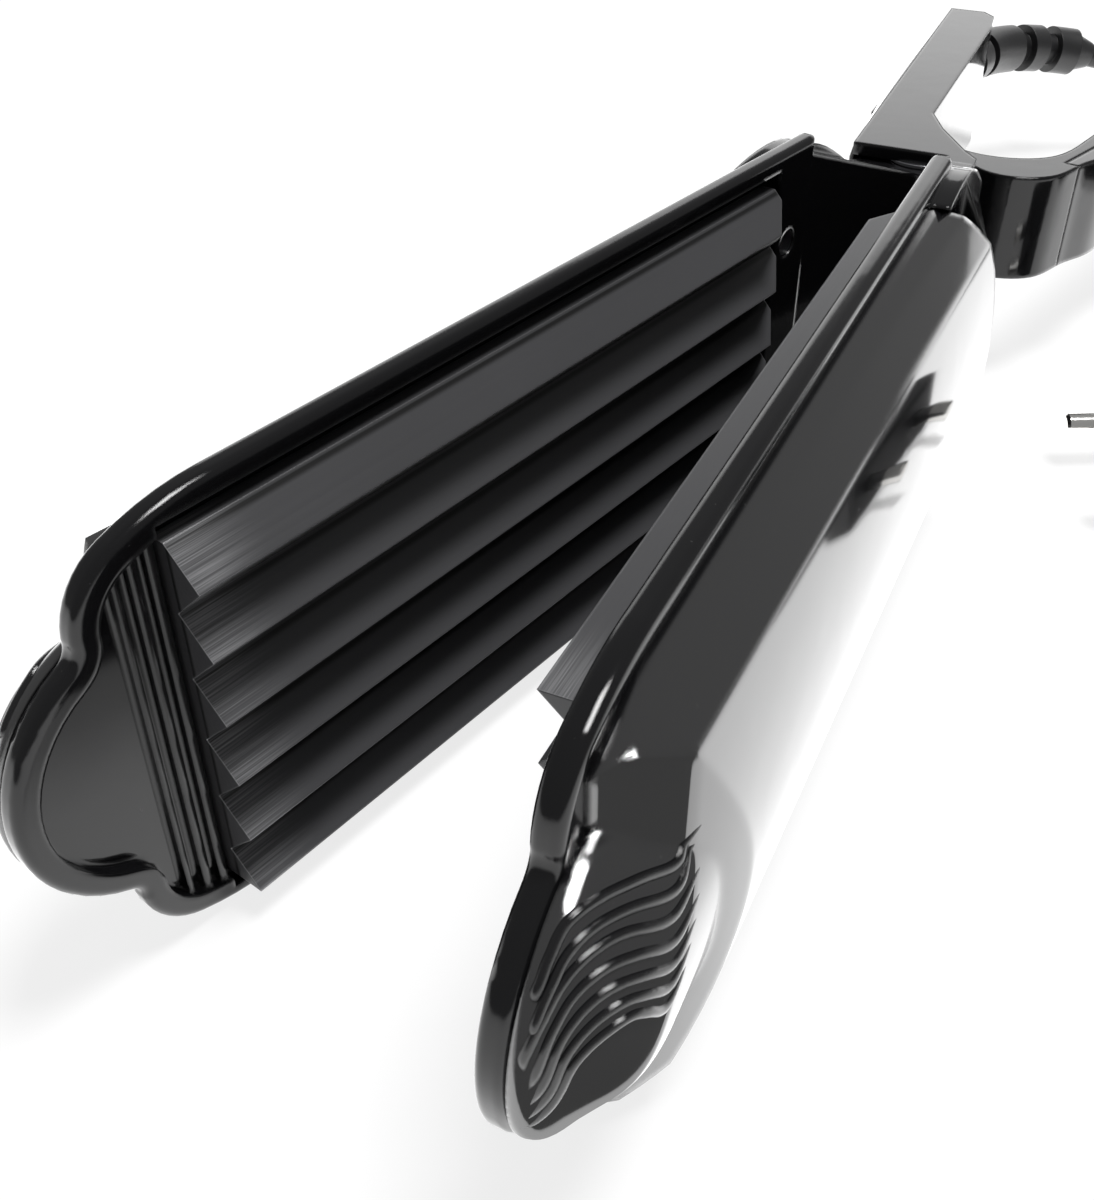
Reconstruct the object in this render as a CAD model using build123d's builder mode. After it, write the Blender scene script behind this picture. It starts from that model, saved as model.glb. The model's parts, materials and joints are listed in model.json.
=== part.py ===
from build123d import *
from math import atan2, ceil, cos, pi, radians, sin, sqrt, tan
import os

os.makedirs("parts", exist_ok=True)

# Scissor-type crimping iron. Everything is modelled with the jaws closed: the pivot axis is Z
# through the origin, the jaws point along +X, and the plates meet at a plane beside the pivot.
# Each arm is then turned out by half the opening angle and the whole is set on the table.
# "Depth" is the distance behind the plane in which the two plates meet.

# Arms
opening_angle = 13.84
plate_plane = 7.5
body_clearance = 0.3

# Ridged plates
plate_start = 61.2
plate_length = 112.0
ridge_period = 8.8
ridge_steps = 11
ridge_height = 4.4
plate_gap = 0.5
plate_back = 4.6
plate_taper = 4.5
rail_height = 4.2
rail_inner = 7.6
rail_thickness = 1.6
rail_end = 2.2

# Jaw outline, seen along the depth
jaw_half = 28.8
jaw_start = 50.0
shoulder_start = 166.0
shoulder_point = (178.5, 26.5)
waist_point = (184.8, 18.4)
waist_fillet = 2.5
nose_radius = 17.3
nose_end = 196.0

# Rim of the jaw moulding
rim_depth = 2.5
rim_width = 2.5
seam_depth = 5.7
rim_overhang = 2.2
rim_bead = 1.0
nose_floor_depth = 4.3
nose_wall = 2.9
ledge_depth = 4.9
ledge_half = 22.8
cross_ribs = ((174.4, 1.0, 25.0), (176.6, 1.0, 24.5), (178.9, 0.7, 23.0))

# Outer jaw cover
cover_wall = 2.2
shoulder_wall = 1.2
cover_corner = 15.0
dome_depth = 16.2
crease_near, bevel_near = (10.0, 24.0), (13.7, 18.5)
crease_far, bevel_far = (7.5, 25.3), (12.4, 22.0)
section_near, section_far = 50.0, 170.0
shoulder_fall = ((152.0, 17.6), (163.0, 16.5), (172.6, 12.6), (177.4, 8.8), (180.4, 5.7), (183.2, 1.7))
nose_start = 158.0
nose_centre = nose_end - nose_radius
nose_section = ((5.7, 17.2), (9.0, 14.9), (12.0, 11.4), (14.6, 0.0))

# Neck and hub
neck_end = 54.0
neck_half = 27.0
collar_edge = ((36.0, 20.5), (41.0, 23.6), (46.5, 26.3), (52.5, 27.5), (59.0, 27.2), (66.0, 25.5))
collar_depth = 8.4
cheek_inner = 10.3
cheek_outer = 12.8
barrel_radius = 9.0
barrel_half = 9.6
washer_radius = 6.5
pin_radius = 3.0
pin_head_radius = 5.0
pin_head_height = 1.6

# Handle that carries the cord: seam line and inner edge in plan, crown of its outer cover
handle_half = 12.5
handle_end = 85.0
handle_wall = 2.2
seam_slope = 2.3 / 90
seam_offset = 11.6
cover_crown = ((-4.0, 1.7), (58.0, 5.0), (85.0, 2.8))
cheek_front = 5.6
cheek_edge = ((9.0, 10.4), (5.0, 10.2), (2.0, 7.7), (-7.7, 1.5), (-15.0, -1.9))
handle_inner = ((-74.0, -2.8), (-82.0, -3.8), (-85.0, -6.5))

# Torsion spring in the hub
spring_radius = 5.0
spring_wire = 1.2
spring_room = 6.0
spring_pitch = 1.4
spring_turns = 3.0

# Plain handle: a bar that leaves the hub sideways and then runs back beside the other handle
bar_half = 9.5
bar_front = ((-1.8, 8.8), (-1.6, 17.8), (-5.6, 22.3), (-15.0, 24.4), (-20.0, 26.0),
             (-32.0, 26.4), (-60.0, 29.5), (-85.0, 25.5))
bar_back = ((-8.3, 3.0), (-9.0, 11.5), (-14.0, 17.8), (-26.0, 19.8), (-60.0, 20.6), (-85.0, 18.8))
bar_seam = ((-13.0, 21.4), (-32.0, 23.4), (-60.0, 25.2), (-86.0, 22.4))

# Inside of a jaw
window_clearance = 1.6
rim_screw_inset = 8.0
screw_radius = 1.4
carrier_back = 11.0
heater_thickness = 3.0

cover_screw_x, cover_screw_z = 55.8, 14.0
duct_depth, duct_half, duct_height = 8.1, 6.0, 4.0
duct_end = jaw_start - 5.0
lead_radius = 0.7

# Switch and lamp in the outer handle cover
switch_x = -38.0
switch_length, switch_height = 15.0, 10.0
switch_recess = 2.8
rocker_tilt = 12.0
lens_x = -58.0
lens_radius = 1.6

# Screws of the handle cover: place, end of the post and seat of the head
handle_screw_places = ((-24.0, -12.4, -14.0), (-68.0, -13.7, -15.5))
handle_screw_z = -7.0
board_y = -8.2
clamp_x, clamp_screw_z = -74.0, 5.5

# Cord, its boot and its plug
exit_y, exit_z = -9.4, 0.0
boot_neck_radius = 4.0
boot_ring_radius = 5.3
boot_core_radius = 3.5
cord_radius = 2.65
boot_end = (-124.6, -0.8, -5.2)
# Radius, start and end of each stretch of the boot along its bend
boot_blocks = (
    (boot_core_radius, 0.0, 43.4),
    (boot_ring_radius, 2.5, 9.0),
    (boot_ring_radius, 12.0, 24.6),
    (boot_ring_radius, 28.7, 33.5),
    (boot_ring_radius, 37.4, 43.4),
)
cord_points = ((-141.0, 36.0, -18.0), (-135.0, 61.0, -24.6), (-120.0, 83.5, -26.1))
plug_pin_radius = 2.0
plug_pin_length = 19.0
plug_pin_spacing = 19.0
plug_sleeve_length = 9.0
plug_sleeve_radius = 1.8
plug_sleeve_bore = 1.4
plug_root_radius = 1.7
plug_width, plug_length, plug_thickness = 35.0, 37.0, 13.7
plug_tail = 52.0
plug_tip = (24.0, 39.3)
plug_heading = -56.0
tail_reach = 60.0
tail_straight = 21.0
coil_outer = 36.5
coil_pitch = 5.85
coil_layers = 4
coil_loops = 8

plate_end = plate_start + plate_length
plate_half = ridge_period * ridge_steps / 4
window_start, window_end = plate_start - window_clearance, plate_end + 0.4
window_half = jaw_half - rim_width
boss_places = (plate_start + rim_screw_inset, plate_end - rim_screw_inset)
table_drop = jaw_half
# Posts inside the cord handle: place, radius and the y at which each ends
handle_posts = (
    *((x, handle_screw_z, 2.4, top) for x, top, seat in handle_screw_places),
    (clamp_x, exit_z + clamp_screw_z, 1.9, exit_y - cord_radius),
    (clamp_x, exit_z - clamp_screw_z, 1.9, exit_y - cord_radius),
    (lens_x - 4.5, -3.0, 1.2, board_y + 1.2),
    (lens_x + 4.5, 3.0, 1.2, board_y + 1.2),
)


def across(side, x):
    """Plane square to the jaw at x: local x is the depth, local y is up."""
    return Plane(origin=(x, plate_plane, 0), x_dir=(0, side, 0), z_dir=(side, 0, 0))


def level(side, depth):
    """Plane along the jaw at one depth: local x runs along the jaw, the normal points outwards."""
    return Plane(origin=(0, plate_plane + side * depth, 0), x_dir=(1, 0, 0), z_dir=(0, side, 0))


def height(z):
    """Plane square to the pivot axis."""
    return Plane.XY.offset(z)


def jaw_outline(inset=0.0, back=jaw_start, corner=0.0):
    """Outline of a jaw: straight sides, round shoulders and a narrow round nose."""
    half = jaw_half
    with BuildSketch() as outline:
        with BuildLine():
            upper = Line((back, half), (shoulder_start, half))
            slope = TangentArc(upper @ 1, shoulder_point, tangent=upper % 1)
            shoulder = TangentArc(slope @ 1, waist_point, tangent=slope % 1)
            Line(shoulder @ 1, (waist_point[0], 0))
            Line((waist_point[0], 0), (back, 0))
            Line((back, 0), upper @ 0)
        make_face()
        mirror(about=Plane.XZ)
        with Locations((nose_end - nose_radius, 0)):
            Circle(nose_radius)
        at_waist = outline.vertices().filter_by_position(Axis.X, waist_point[0] - 0.1, waist_point[0] + 0.1)
        fillet(at_waist.filter_by_position(Axis.Y, 1 - waist_point[1], waist_point[1] - 1), waist_fillet)
        if inset:
            offset(amount=-inset, kind=Kind.INTERSECTION)
        if corner:
            fillet(outline.vertices().group_by(Axis.X)[0], corner)
    return outline.sketch


def section_points(x, inset):
    """Half section of the cover at x, from the seam to the bevel edge, as (depth, height)."""
    share = (x - section_near) / (section_far - section_near)
    points = [(seam_depth, jaw_half - rim_overhang)]
    for near, far in ((crease_near, crease_far), (bevel_near, bevel_far)):
        points.append(tuple(n + (f - n) * share for n, f in zip(near, far)))
    return [(depth - inset * 0.7, up - inset) for depth, up in points]


def profile(side):
    """Plane square to the pivot axis: local x runs along the jaw, local y is the depth."""
    return Plane(origin=(0, plate_plane, 0), x_dir=(1, 0, 0), z_dir=(0, 0, side))


def jaw_back(side, inset):
    """Broad part of a jaw behind the seam, which falls away in a curve at the shoulders."""
    with BuildPart() as form:
        with BuildSketch(level(side, seam_depth - inset)):
            add(jaw_outline(rim_overhang + inset, jaw_start, cover_corner - inset))
        extrude(amount=dome_depth)
        for x in (section_near - 15, section_far + 35):
            with BuildSketch(across(side, x)):
                with BuildLine():
                    seam, crease, bevel = section_points(x, inset)
                    upper = Polyline((seam_depth - 5, seam[1]), seam, crease, bevel)
                    dome = ThreePointArc(bevel, (dome_depth - inset, 0), (bevel[0], -bevel[1]))
                    lower = Polyline(dome @ 1, (crease[0], -crease[1]), (seam[0], -seam[1]),
                                     (seam_depth - 5, -seam[1]))
                    Line(lower @ 1, upper @ 0)
                make_face()
        loft(ruled=True, mode=Mode.INTERSECT)
        with BuildSketch(profile(side)):
            with BuildLine():
                drawn = inset * shoulder_wall / cover_wall
                fall = Spline(*[(x - drawn, depth - drawn) for x, depth in shoulder_fall])
                Polyline(fall @ 1, (section_near - 20, (fall @ 1).Y), (section_near - 20, (fall @ 0).Y),
                         fall @ 0)
            make_face()
        extrude(amount=2 * jaw_half, both=True, mode=Mode.INTERSECT)
    return form.part


def jaw_nose(side, inset):
    """Narrow nose of a jaw behind the seam: a round dome, carried back at the same section."""
    half = [(depth - inset, up - inset) for depth, up in nose_section]
    peak = (half[-1][0], 0)
    with BuildPart() as form:
        with BuildSketch(across(side, nose_centre)):
            with BuildLine():
                rise = Spline(*half[:-1], peak, tangents=((1, 0.1), (0, -1)))
                Polyline(rise @ 1, (half[0][0], 0), rise @ 0)
            make_face()
        revolve(axis=Axis((nose_centre, plate_plane, 0), (0, 1, 0)), revolution_arc=180)
        with BuildSketch(across(side, nose_centre)):
            with BuildLine():
                rise = Spline(*half[:-1], peak, tangents=((1, 0.1), (0, -1)))
                Polyline(rise @ 1, (half[0][0], 0), rise @ 0)
            make_face()
            mirror(about=Plane.XZ)
        extrude(amount=side * (nose_start - nose_centre))
    return form.part


def jaw_form(side, inset=0.0):
    """Outer form of a jaw behind the seam, or the same form drawn in by a wall."""
    with BuildPart() as form:
        add(jaw_back(side, inset))
        add(jaw_nose(side, inset))
    return form.part


def column(points, low, high):
    """Prism with the given plan outline between two heights."""
    with BuildPart() as prism:
        with BuildSketch(height(low)):
            with BuildLine():
                Polyline(*points, close=True)
            make_face()
        extrude(amount=high - low)
    return prism.part


def block(x_from, x_to, y_from, y_to, z_from, z_to):
    """Box between two corners."""
    with BuildPart() as box:
        with BuildSketch(height(z_from)):
            with Locations(((x_from + x_to) / 2, (y_from + y_to) / 2)):
                Rectangle(x_to - x_from, y_to - y_from)
        extrude(amount=z_to - z_from)
    return box.part


def disc(radius, low, high, x=0.0, y=0.0):
    """Round solid about an axis parallel to the pivot."""
    with BuildPart() as round_solid:
        with BuildSketch(height(low)):
            with Locations((x, y)):
                Circle(radius)
        extrude(amount=high - low)
    return round_solid.part


def rod(x, y, z, radius, length, direction):
    """Round solid that starts at a point and runs along a direction."""
    with BuildPart() as round_solid:
        with BuildSketch(Plane(origin=(x, y, z), z_dir=direction)):
            Circle(radius)
        extrude(amount=length)
    return round_solid.part


def stud(side, x, z, radius, depth_from, depth_to):
    """Round solid that stands along the depth of a jaw."""
    with BuildPart() as round_solid:
        with BuildSketch(level(side, depth_from)):
            with Locations((x, -side * z)):
                Circle(radius)
        extrude(amount=depth_to - depth_from)
    return round_solid.part


def jaw_block(side, x_from, x_to, half, depth_from, depth_to):
    """Box in jaw terms, symmetrical about the middle height."""
    with BuildPart() as box:
        with BuildSketch(level(side, depth_from)):
            with Locations(((x_from + x_to) / 2, 0)):
                Rectangle(x_to - x_from, 2 * half)
        extrude(amount=depth_to - depth_from)
    return box.part


def heating_plate(side):
    """Extruded plate with ridges in front and a heater channel behind."""
    near = (ridge_height - plate_gap) / 2
    far = near + plate_gap
    first = -near if side > 0 else far
    other = far if side > 0 else -near
    with BuildPart() as plate:
        with BuildSketch(across(side, plate_start)):
            with BuildLine():
                step = 2 * plate_half / ridge_steps
                crests = [(other if k % 2 else first, plate_half - k * step) for k in range(ridge_steps + 1)]
                Polyline((plate_back, plate_half), *crests, (plate_back, -plate_half), close=True)
            make_face()
        extrude(amount=side * plate_length)
        with BuildSketch(across(side, plate_start + rail_end)):
            with Locations((plate_back + rail_height / 2, rail_inner + rail_thickness / 2),
                           (plate_back + rail_height / 2, -rail_inner - rail_thickness / 2)):
                Rectangle(rail_height, rail_thickness)
        extrude(amount=side * (plate_length - 2 * rail_end))
        with BuildSketch(Plane.XY.offset(-plate_half)):
            with BuildLine():
                front = plate_plane - side * near
                Polyline((plate_start, front), (plate_start + plate_taper, front),
                         (plate_start, front + side * ridge_height * 0.7), close=True)
            make_face()
        extrude(amount=2 * plate_half, mode=Mode.SUBTRACT)
        for x in boss_places:
            with BuildSketch(level(side, plate_back)):
                with Locations((x, 0)):
                    Rectangle(8, 8)
            extrude(amount=rail_height)
            add(stud(side, x, 0, screw_radius, plate_back - 0.5, plate_back + rail_height),
                mode=Mode.SUBTRACT)
    return plate.part


def plate_carrier(side):
    """Heat-resistant tray behind a plate, with ribs and a well for the heater channel."""
    first, last = plate_start + 2.2, plate_end - 2.0
    half = ledge_half - body_clearance
    with BuildPart() as tray:
        with BuildSketch(across(side, first)):
            with BuildLine():
                flank = [(plate_back + body_clearance, half), (6.2, half - 0.1), (8.3, half - 1.6),
                         (carrier_back, half - 5.1)]
                Polyline(*flank, *[(depth, -up) for depth, up in reversed(flank)], close=True)
            make_face()
        extrude(amount=side * (last - first))
        add(jaw_block(side, plate_start, plate_end, rail_inner + rail_thickness + body_clearance,
                      plate_back, plate_back + rail_height + 0.5), mode=Mode.SUBTRACT)
        bays = 5
        bay = (last - first - 4) / bays
        with BuildSketch(level(side, plate_back + 2.4)):
            for z in (13.4, -13.4):
                with Locations(*[(first + 2 + bay * (k + 0.5), z) for k in range(bays)]):
                    Rectangle(bay - 1.6, 5.2)
        extrude(amount=carrier_back, mode=Mode.SUBTRACT)
        for x in boss_places:
            add(stud(side, x, 0, screw_radius, plate_back, carrier_back), mode=Mode.SUBTRACT)
    return tray.part


def heater(side):
    """Flat ceramic heater in its foil, lying in the channel of the plate."""
    with BuildPart() as element:
        add(jaw_block(side, boss_places[0] + 8, boss_places[1] - 8, rail_inner - 0.4,
                      plate_back, plate_back + heater_thickness))
        fillet(element.edges().filter_by(Axis.X), 0.6)
    return element.part


def heater_clip(side):
    """Bowed spring strip that presses the heater against the plate."""
    first, last = boss_places[0] + 10, boss_places[1] - 10
    waves = 4
    pitch = (last - first) / waves
    low = plate_back + 3.0
    with BuildPart() as clip:
        with BuildSketch(profile(side).offset(side * (1.4 - rail_inner))):
            with BuildLine():
                for k in range(waves):
                    x = first + k * pitch
                    ThreePointArc((x, low + 0.5), (x + pitch / 2, low + 1.4), (x + pitch, low + 0.5))
                Line((last, low + 0.5), (last, low))
                for k in reversed(range(waves)):
                    x = first + k * pitch
                    ThreePointArc((x + pitch, low), (x + pitch / 2, low + 0.9), (x, low))
                Line((first, low), (first, low + 0.5))
            make_face()
        extrude(amount=side * 2 * (rail_inner - 1.4))
    return clip.part


def plate_screws(side):
    """Two pan-head screws that hold the plate to its carrier."""
    with BuildPart() as screws:
        for x in boss_places:
            add(stud(side, x, 0, screw_radius, plate_back + 0.6, carrier_back))
            add(stud(side, x, 0, 2.6, carrier_back, carrier_back + 1.4))
    return screws.part


def thermal_fuse(side):
    """Axial fuse on the back of the plate, beside the heater channel."""
    with BuildPart() as fuse:
        with BuildSketch(across(side, plate_start + 12)):
            with Locations((plate_back + 3.9, 13.4)):
                Circle(1.5)
        extrude(amount=side * 11)
        with BuildSketch(across(side, plate_start + 6)):
            with Locations((plate_back + 3.9, 13.4)):
                Circle(0.5)
        extrude(amount=side * 17.5)
    return fuse.part


def jaw_cover(side):
    """Outer cover of a jaw: a shell with carrier ribs and screw posts inside."""
    outer = jaw_form(side)
    inner = jaw_form(side, cover_wall)
    with BuildPart() as cover:
        add(outer)
        add(inner, mode=Mode.SUBTRACT)
        for x in (plate_start + 22, plate_start + 56, plate_end - 22):
            add(jaw_block(side, x - 0.9, x + 0.9, 14, carrier_back + body_clearance, dome_depth - 1.9))
        for z in (cover_screw_z, -cover_screw_z):
            add(stud(side, cover_screw_x, z, 2.3, seam_depth, dome_depth - 2.0))
            add(stud(side, cover_screw_x, z, 0.9, seam_depth, dome_depth - 6.0), mode=Mode.SUBTRACT)
        low = duct_depth - duct_height / 2
        add(jaw_block(side, jaw_start - 1, jaw_start + 8, duct_half, low, low + duct_height),
            mode=Mode.SUBTRACT)
    return cover.part


# Arm mouldings

def rim_panel(side):
    """Front of a jaw moulding: beaded rim, window for the plate with a ledge, nose tray with cross ribs."""
    with BuildPart() as panel:
        with BuildSketch(level(side, rim_depth)):
            add(jaw_outline())
        extrude(amount=seam_depth - rim_depth)
        outward = Axis((0, 0, 0), (0, side, 0))
        back = panel.faces().sort_by(outward)[-1]
        fillet(back.outer_wire().edges(), rim_bead + 0.1)
        front = panel.faces().sort_by(outward)[0]
        fillet(front.outer_wire().edges(), rim_bead)
        with BuildSketch(level(side, rim_depth - 1)):
            with Locations(((window_start + window_end) / 2, 0)):
                Rectangle(window_end - window_start, 2 * window_half)
        extrude(amount=ledge_depth - rim_depth + 1, mode=Mode.SUBTRACT)
        with BuildSketch(level(side, ledge_depth - 1)):
            with Locations(((plate_start + plate_end) / 2, 0)):
                Rectangle(plate_length - 3.4, 2 * ledge_half)
        extrude(amount=seam_depth, mode=Mode.SUBTRACT)
        with BuildSketch(level(side, rim_depth - 1)):
            add(jaw_outline(nose_wall))
            with Locations((window_end - 0.5 - plate_length / 2, 0)):
                Rectangle(plate_length, 2 * jaw_half, mode=Mode.SUBTRACT)
            with Locations((jaw_start, 0)):
                Rectangle(plate_length, 2 * jaw_half, mode=Mode.SUBTRACT)
        extrude(amount=nose_floor_depth - rim_depth + 1, mode=Mode.SUBTRACT)
        for z in (cover_screw_z, -cover_screw_z):
            add(stud(side, cover_screw_x, z, 1.2, rim_depth - 1, seam_depth + 1), mode=Mode.SUBTRACT)
            add(stud(side, cover_screw_x, z, 2.2, rim_depth - 1, rim_depth + 1.6), mode=Mode.SUBTRACT)
        for x, width, half in cross_ribs:
            add(jaw_block(side, x - width / 2, x + width / 2, half,
                          nose_floor_depth - 1.2, nose_floor_depth + 0.2))
    return panel.part


def neck(side, near_low, near_high, near_half):
    """Tapered neck from the hub to the jaw, with a duct for the heater leads."""
    near_x, far_x = barrel_radius - 1.0, jaw_start + 1.9
    with BuildPart() as body:
        for x, low, mid, high, half, shoulder in (
                (near_x, near_low, near_high - 0.5, near_high, near_half, near_half - 0.6),
                (far_x, rim_depth + 0.5, collar_depth - 0.4, 13.2, neck_half, 17.0)):
            with BuildSketch(across(side, x)):
                with BuildLine():
                    Polyline((low, half), (mid, half), (high, shoulder),
                             (high, -shoulder), (mid, -half), (low, -half), close=True)
                make_face()
        loft(ruled=True)
        with BuildSketch(across(side, far_x + 1)):
            with Locations((duct_depth, 0)):
                Rectangle(duct_height, 2 * duct_half)
        extrude(amount=-side * (far_x + 1 - duct_end), mode=Mode.SUBTRACT)
    return body.part


def collar(side):
    """Rounded lip of the neck that fills the corners beside the near end of the jaw cover."""
    with BuildPart() as lip:
        with BuildSketch(level(side, seam_depth - 1.5)):
            with BuildLine():
                edge = Spline(*collar_edge)
                Polyline(edge @ 1, (collar_edge[-1][0], 0), (collar_edge[0][0], 0), edge @ 0)
            make_face()
            mirror(about=Plane.XZ)
            add(jaw_outline(rim_overhang - 0.2, jaw_start, cover_corner), mode=Mode.SUBTRACT)
            with Locations((jaw_start, 0)):
                Rectangle(40, 2 * duct_half + 6, mode=Mode.SUBTRACT)
        extrude(amount=collar_depth - seam_depth + 1.5)
    return lip.part


def seam_y(x):
    """Seam between the two halves of the cord handle."""
    return -seam_offset + seam_slope * (x - 5)


def cord_arm_frame():
    """Cord arm moulding: jaw rim, neck, two hub cheeks and the inner half of the handle."""
    corner = (cheek_edge[-1][0], seam_y(cheek_edge[-1][0]))
    cheek_plan = [(cheek_front, seam_y(cheek_front)), (cheek_front, cheek_edge[0][1] - 5.3), (9.0, 5.1),
                  *cheek_edge, corner]
    web_plan = [(-9.7, seam_y(-9.7)), (-9.7, -0.4), cheek_edge[-1], corner]
    grip_plan = [cheek_edge[-1], *handle_inner, (-handle_end, seam_y(-handle_end)), corner]
    with BuildPart() as frame:
        add(rim_panel(1))
        add(neck(1, -2.3, 2.9, handle_half))
        add(collar(1))
        for low, high in ((cheek_inner, handle_half), (-handle_half, -cheek_inner)):
            add(column(cheek_plan, low, high))
        add(column(web_plan, -handle_half, handle_half))
        add(column(grip_plan, -handle_half, handle_half))
        add(disc(barrel_radius + body_clearance + 0.3, -cheek_inner, cheek_inner), mode=Mode.SUBTRACT)
        with BuildSketch(height(-handle_half + handle_wall)):
            with BuildLine():
                Polyline((-17.0, -4.2), (-74.0, -5.2), (-82.6, -6.6), (-82.6, -20), (-17.0, -20), close=True)
            make_face()
        extrude(amount=2 * (handle_half - handle_wall), mode=Mode.SUBTRACT)
        for x, z, radius, top in handle_posts:
            with BuildSketch(Plane(origin=(x, -4.0, z), x_dir=(1, 0, 0), z_dir=(0, -1, 0))):
                Circle(radius)
            extrude(amount=-top - 4.0)
        for x, top, seat in handle_screw_places:
            add(rod(x, top - 1, handle_screw_z, 0.95, 6.0, (0, 1, 0)), mode=Mode.SUBTRACT)
        add(block(clamp_x - 2.5, clamp_x + 2.5, exit_y + cord_radius, -4.0, exit_z - 3, exit_z + 3))
        add(disc(pin_radius + 0.05, -handle_half, cheek_inner + 1.4), mode=Mode.SUBTRACT)
        add(disc(pin_head_radius + 0.2, -handle_half - 1, -handle_half + pin_head_height - 0.6),
            mode=Mode.SUBTRACT)
        with BuildSketch(Plane(origin=(-handle_end - 1, exit_y, exit_z), x_dir=(0, 1, 0), z_dir=(1, 0, 0))):
            Circle(boot_neck_radius + 0.2)
        extrude(amount=handle_wall + 3.2, mode=Mode.SUBTRACT)
    return frame.part


def handle_across(x):
    """Plane square to the cord handle at x: local x points outwards from the seam."""
    return Plane(origin=(x, seam_y(x), 0), x_dir=(0, -1, 0), z_dir=(-1, 0, 0))


def crown_face(half, crown):
    """D section between the seam and the back of the handle."""
    with BuildSketch() as section:
        with BuildLine():
            Line((0, -half), (0, half))
            ThreePointArc((0, half), (crown, 0), (0, -half))
        make_face()
    return section.sketch


def handle_cover():
    """Rounded outer cover of the cord handle, with a recess for the switch and a hole for the lamp."""
    with BuildPart() as hollow:
        for back, crown in ((18.0, 1.4), (58.0, 3.0), (82.6, 1.0)):
            with BuildSketch(handle_across(-back)):
                add(crown_face(handle_half - handle_wall, crown))
        loft()
    with BuildPart() as cover:
        for back, crown in cover_crown:
            with BuildSketch(handle_across(-back)):
                add(crown_face(handle_half, crown))
        loft()
        add(hollow.part, mode=Mode.SUBTRACT)
        recess = seam_y(switch_x) - switch_recess
        with BuildSketch(Plane(origin=(switch_x, recess, 0), x_dir=(1, 0, 0), z_dir=(0, -1, 0))):
            Rectangle(switch_length + 3, switch_height + 3)
        extrude(amount=6, mode=Mode.SUBTRACT)
        with BuildSketch(Plane(origin=(switch_x, -5, 0), x_dir=(1, 0, 0), z_dir=(0, -1, 0))):
            Rectangle(switch_length, switch_height)
        extrude(amount=16, mode=Mode.SUBTRACT)
        add(rod(lens_x, -5, 0, lens_radius, 15, (0, -1, 0)), mode=Mode.SUBTRACT)
        for x, top, seat in handle_screw_places:
            add(rod(x, -5, handle_screw_z, 1.2, 15, (0, -1, 0)), mode=Mode.SUBTRACT)
            add(rod(x, seat, handle_screw_z, 2.3, 5, (0, -1, 0)), mode=Mode.SUBTRACT)
    return cover.part


def bar_plan(outer, inner):
    """Plan of the plain handle between two edges given as points from the hub to the handle's end."""
    with BuildSketch() as plan:
        with BuildLine():
            front = Spline(*outer)
            back = Spline(*inner)
            Line(front @ 1, back @ 1)
            Line(back @ 0, front @ 0)
        make_face()
    return plan.sketch


def bar_cover_plan():
    """Plan of the strip of the plain handle outside its seam."""
    with BuildSketch() as plan:
        add(bar_plan(bar_front, bar_back))
        with BuildSketch(mode=Mode.PRIVATE) as beyond:
            with BuildLine():
                seam = Spline(*bar_seam)
                Polyline(seam @ 1, (-90, 60), (bar_seam[0][0], 60), seam @ 0)
            make_face()
        add(beyond.sketch, mode=Mode.INTERSECT)
    return plan.sketch


def plain_arm_frame():
    """Plain arm moulding: jaw rim, neck, hub barrel and the curved bar of the handle."""
    with BuildPart() as frame:
        add(rim_panel(-1))
        add(neck(-1, 3.0, plate_plane + barrel_radius, barrel_half))
        add(collar(-1))
        add(disc(barrel_radius, -barrel_half, barrel_half))
        add(block(0, barrel_radius, -barrel_radius, 4.5, -barrel_half, barrel_half))
        with BuildSketch(height(-bar_half)):
            add(bar_plan(bar_front, bar_back))
        extrude(amount=2 * bar_half)
        with BuildSketch(height(-bar_half)):
            add(bar_cover_plan())
        extrude(amount=2 * bar_half, mode=Mode.SUBTRACT)
        add(disc(pin_radius + 0.05, -barrel_half, barrel_half), mode=Mode.SUBTRACT)
        add(disc(spring_radius + 1.2, -barrel_half, -barrel_half + spring_room), mode=Mode.SUBTRACT)
    return frame.part


def bar_cover():
    """Outer cover of the plain handle."""
    with BuildPart() as cover:
        with BuildSketch(height(-bar_half)):
            add(bar_cover_plan())
        extrude(amount=2 * bar_half)
    return cover.part


# Small pieces in the arms

def cover_screws(side):
    """Two screws through the rim moulding into the posts of the jaw cover."""
    with BuildPart() as screws:
        for z in (cover_screw_z, -cover_screw_z):
            add(stud(side, cover_screw_x, z, 0.88, rim_depth + 0.4, dome_depth - 7.0))
            add(stud(side, cover_screw_x, z, 2.0, rim_depth + 0.4, rim_depth + 1.6))
    return screws.part


def jaw_leads(side):
    """Two heater leads from the heater's end into the duct of the neck."""
    with BuildPart() as leads:
        for z in (4.9, -4.9):
            with BuildSketch(across(side, duct_end + 1.0)):
                with Locations((plate_back + heater_thickness - lead_radius, z)):
                    Circle(lead_radius)
            extrude(amount=side * (boss_places[0] + 7 - duct_end))
    return leads.part


def pivot_pin():
    """Headed pin that stands in both cheeks."""
    with BuildPart() as pin:
        add(disc(pin_radius, -handle_half, cheek_inner + 1.3))
        add(disc(pin_head_radius, -handle_half - 0.5, -handle_half + pin_head_height - 0.6))
    return pin.part


def pivot_washers():
    """Thrust washers between the hub barrel and the cheeks."""
    with BuildPart() as washers:
        for low, high in ((barrel_half + 0.1, cheek_inner), (-cheek_inner, -barrel_half - 0.1)):
            add(disc(washer_radius, low, high))
        add(disc(pin_radius + 0.1, -cheek_inner, cheek_inner), mode=Mode.SUBTRACT)
    return washers.part


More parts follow.
